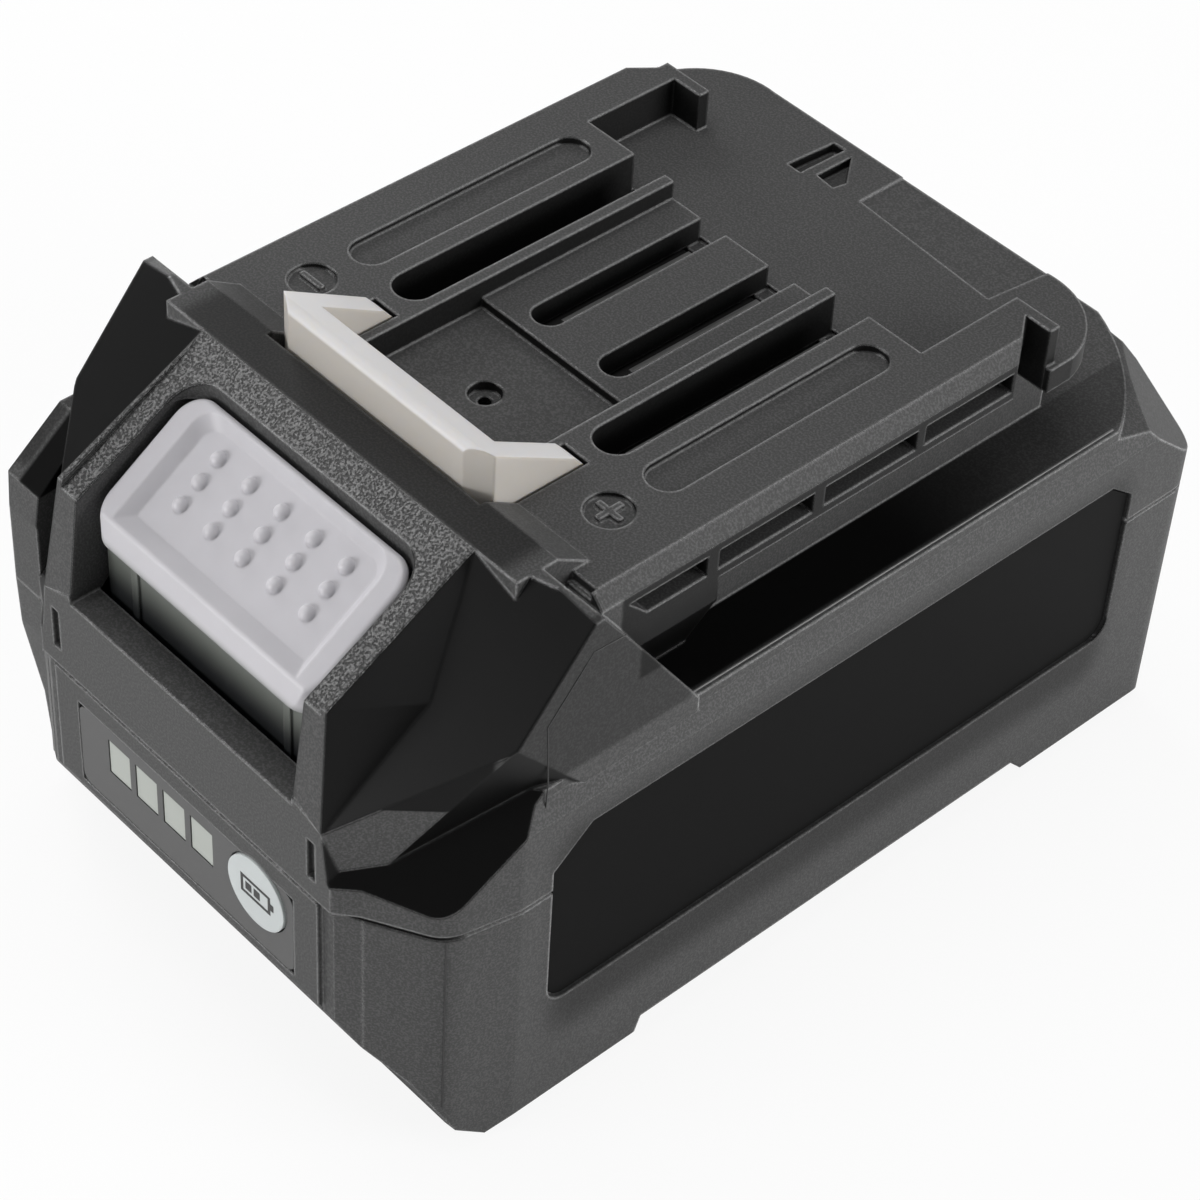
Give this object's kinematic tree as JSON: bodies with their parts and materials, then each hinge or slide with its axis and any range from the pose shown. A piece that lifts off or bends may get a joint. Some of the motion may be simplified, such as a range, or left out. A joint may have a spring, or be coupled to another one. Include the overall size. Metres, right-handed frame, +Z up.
{
  "type": "power tool battery pack",
  "caption": "Slide-on lithium-ion tool battery: two-shell case, flanged rail block with contact slots, sprung release latch with hook, and charge gauge with check button.",
  "frame": {"origin": "centre of the footprint, on the plane of the feet", "axes": "+Z up; +Y from the gauge end towards the rear end, which enters the tool first; +X towards the check button's side of the gauge"},
  "size_m": [0.0774, 0.1262, 0.0811],
  "materials": {
    "case": "fine spark-eroded grey plastic",
    "button": "smooth light grey plastic",
    "hook": "smooth cream acetal",
    "label": "satin black film",
    "overlay": "printed grey film",
    "clear": "clear light guide",
    "check_button": "pale grey-green rubbery plastic",
    "board": "green laminate",
    "led": "diffuse lens",
    "black": "black moulding",
    "cell": "shrink sleeve",
    "holder": "black moulding",
    "nickel": "nickel strip",
    "paper": "fish paper",
    "foam": "foam",
    "steel": "zinc-plated steel",
    "ribbon": "polyimide film"
  },
  "bodies": {
    "pack": {"board_screws": "steel", "case_screws": "steel", "cell_1": "cell", "cell_10": "cell", "cell_2": "cell", "cell_3": "cell", "cell_4": "cell", "cell_5": "cell", "cell_6": "cell", "cell_7": "cell", "cell_8": "cell", "cell_9": "cell", "cell_holder_left": "holder", "cell_holder_right": "holder", "foam_pads": "foam", "gauge_board": "board", "gauge_leds": "led", "gauge_overlay": "overlay", "gauge_ribbon": "ribbon", "insulator_sheet_left": "paper", "insulator_sheet_right": "paper", "latch_spring_left": "steel", "latch_spring_right": "steel", "lead_negative": "nickel", "lead_positive": "nickel", "light_guide": "clear", "lower_case": "case", "main_board": "board", "nickel_strips_left": "nickel", "nickel_strips_right": "nickel", "power_transistors": "black", "side_label_left": "label", "side_label_right": "label", "signal_terminal_left": "nickel", "signal_terminal_right": "nickel", "tact_switch": "black", "terminal_block": "black", "terminal_negative": "nickel", "terminal_positive": "nickel", "upper_case": "case"},
    "latch": {"release_button": "button", "latch_hook": "hook"},
    "check_button": {"gauge_button": "check_button"}
  },
  "joints": [
    {"name": "latch_slide", "type": "slide", "parent": "pack", "child": "latch", "axis": [0, 0, -1], "range_m": [0, 0.0055], "stiffness_N_per_m": 1800, "springref_m": -0.003, "deforming": ["latch_spring_left", "latch_spring_right"]},
    {"name": "check_press", "type": "slide", "parent": "pack", "child": "check_button", "axis": [0, 1, 0], "range_m": [0, 0.0005], "stiffness_N_per_m": 900, "springref_m": -0.0002}
  ]
}
